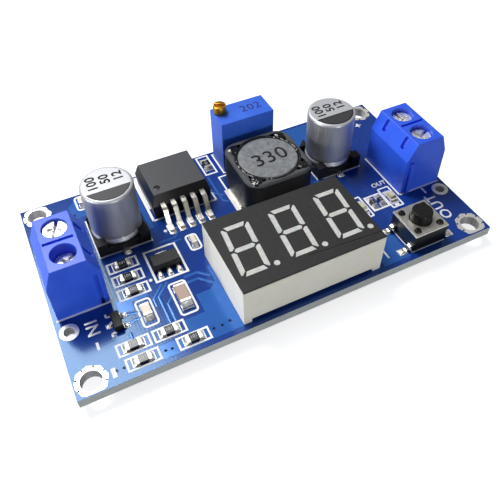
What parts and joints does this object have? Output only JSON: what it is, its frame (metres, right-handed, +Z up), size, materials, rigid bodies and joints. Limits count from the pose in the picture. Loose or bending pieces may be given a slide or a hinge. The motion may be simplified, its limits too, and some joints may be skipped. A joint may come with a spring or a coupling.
{
  "type": "buck converter module",
  "caption": "Step-down converter module on a blue circuit board, with screw terminals, shielded inductor, capacitors, trimmer, numeric display and push switch.",
  "frame": {"origin": "centre of the mounting-hole rectangle on the underside of the circuit board", "axes": "+X along the board from the input terminal to the output terminal, +Y towards the trimmer, +Z up from the board to its parts"},
  "size_m": [0.0668, 0.0368, 0.0146],
  "materials": {
    "board": "blue solder mask over glass-epoxy laminate",
    "tin_plating": "hot-air levelled tin",
    "solder": "bright solder",
    "terminal_plastic": "moulded polyamide",
    "contact_metal": "tinned sheet metal",
    "screw_nickel": "nickel-plated steel",
    "can_aluminium": "drawn aluminium, clear coat",
    "capacitor_base": "black moulding",
    "tinned_lead": "matt tin",
    "moulded_epoxy": "moulded epoxy",
    "ferrite": "pressed and fired ferrite",
    "ground_ferrite": "ground ferrite face",
    "enamelled_copper": "enamelled copper wire",
    "black_adhesive": "glossy cured glue",
    "trimmer_plastic": "moulded thermoset",
    "screw_brass": "turned brass",
    "display_plastic": "off-white moulding",
    "display_face": "printed dark grey face",
    "segment_epoxy": "milky cast epoxy",
    "potting_resin": "potting resin",
    "switch_plastic": "black moulding",
    "switch_steel": "tinned sheet steel",
    "button_plastic": "black moulding",
    "resistor_glaze": "black glaze on alumina",
    "ceramic": "fired ceramic",
    "led_base": "white laminate",
    "led_lens": "clear cast epoxy"
  },
  "bodies": {
    "root": {"circuit_board": "board", "plated_holes": "tin_plating", "solder_pads": "tin_plating", "solder_joints": "solder", "input_terminal_housing": "terminal_plastic", "input_terminal_contacts": "contact_metal", "output_terminal_housing": "terminal_plastic", "output_terminal_contacts": "contact_metal", "input_capacitor_can": "can_aluminium", "input_capacitor_base": "capacitor_base", "input_capacitor_leads": "tinned_lead", "output_capacitor_can": "can_aluminium", "output_capacitor_base": "capacitor_base", "output_capacitor_leads": "tinned_lead", "regulator_body": "moulded_epoxy", "regulator_tab": "tinned_lead", "regulator_leads": "tinned_lead", "inductor_shield": "ferrite", "inductor_core": "ground_ferrite", "inductor_winding": "enamelled_copper", "inductor_adhesive": "black_adhesive", "inductor_terminals": "tinned_lead", "trimmer_body": "trimmer_plastic", "trimmer_pins": "tinned_lead", "display_housing": "display_plastic", "display_face": "display_face", "display_segments": "segment_epoxy", "display_base": "potting_resin", "display_pins": "tinned_lead", "switch_base": "switch_plastic", "switch_cover": "switch_steel", "switch_dome": "contact_metal", "switch_terminals": "tinned_lead", "logic_regulator_body": "moulded_epoxy", "logic_regulator_leads": "tinned_lead", "transistor_body": "moulded_epoxy", "transistor_leads": "tinned_lead", "resistor_bodies": "resistor_glaze", "resistor_ends": "tinned_lead", "ceramic_capacitor_bodies": "ceramic", "ceramic_capacitor_ends": "tinned_lead", "indicator_led_bases": "led_base", "indicator_led_lenses": "led_lens", "catch_diode_body": "moulded_epoxy", "catch_diode_leads": "tinned_lead", "controller_body": "moulded_epoxy", "controller_leads": "tinned_lead"},
    "input_clamp_plate_front": {"input_clamp_plate_front": "contact_metal"},
    "input_clamp_plate_back": {"input_clamp_plate_back": "contact_metal"},
    "input_clamp_screw_front": {"input_clamp_screw_front": "screw_nickel"},
    "input_clamp_screw_back": {"input_clamp_screw_back": "screw_nickel"},
    "output_clamp_plate_front": {"output_clamp_plate_front": "contact_metal"},
    "output_clamp_plate_back": {"output_clamp_plate_back": "contact_metal"},
    "output_clamp_screw_front": {"output_clamp_screw_front": "screw_nickel"},
    "output_clamp_screw_back": {"output_clamp_screw_back": "screw_nickel"},
    "trimmer_screw": {"trimmer_screw": "screw_brass"},
    "switch_button": {"switch_button": "button_plastic"}
  },
  "joints": [
    {"name": "input_clamp_lift_front", "type": "slide", "parent": "root", "child": "input_clamp_plate_front", "axis": [0, 0, 1], "range_m": [-0.0006, 0.0016]},
    {"name": "input_clamp_turn_front", "type": "hinge", "parent": "input_clamp_plate_front", "child": "input_clamp_screw_front", "pos_m": [-0.0289, -0.00269, 0.0066], "axis": [0, 0, 1], "range_deg": [-432, 1152]},
    {"name": "input_clamp_lift_back", "type": "slide", "parent": "root", "child": "input_clamp_plate_back", "axis": [0, 0, 1], "range_m": [-0.0021, 0.0001]},
    {"name": "input_clamp_turn_back", "type": "hinge", "parent": "input_clamp_plate_back", "child": "input_clamp_screw_back", "pos_m": [-0.0289, 0.00239, 0.0066], "axis": [0, 0, 1], "range_deg": [-1512, 72]},
    {"name": "output_clamp_lift_front", "type": "slide", "parent": "root", "child": "output_clamp_plate_front", "axis": [0, 0, 1], "range_m": [-0.0017, 0.0005]},
    {"name": "output_clamp_turn_front", "type": "hinge", "parent": "output_clamp_plate_front", "child": "output_clamp_screw_front", "pos_m": [0.0289, -0.00322, 0.0066], "axis": [0, 0, 1], "range_deg": [-1224, 360]},
    {"name": "output_clamp_lift_back", "type": "slide", "parent": "root", "child": "output_clamp_plate_back", "axis": [0, 0, 1], "range_m": [-0.0017, 0.0005]},
    {"name": "output_clamp_turn_back", "type": "hinge", "parent": "output_clamp_plate_back", "child": "output_clamp_screw_back", "pos_m": [0.0289, 0.00186, 0.0066], "axis": [0, 0, 1], "range_deg": [-1224, 360]},
    {"name": "trimmer_turn", "type": "hinge", "parent": "root", "child": "trimmer_screw", "pos_m": [0.00211, 0.0161, 0.01163], "axis": [0, 0, 1], "continuous": true},
    {"name": "button_press", "type": "slide", "parent": "root", "child": "switch_button", "axis": [0, 0, 1], "range_m": [-0.00025, 0], "stiffness_N_per_m": 800}
  ],
  "couplings": [
    {"joint": "input_clamp_turn_front", "follows": "input_clamp_lift_front", "rad_per_m": 12566},
    {"joint": "input_clamp_turn_back", "follows": "input_clamp_lift_back", "rad_per_m": 12566},
    {"joint": "output_clamp_turn_front", "follows": "output_clamp_lift_front", "rad_per_m": 12566},
    {"joint": "output_clamp_turn_back", "follows": "output_clamp_lift_back", "rad_per_m": 12566}
  ]
}
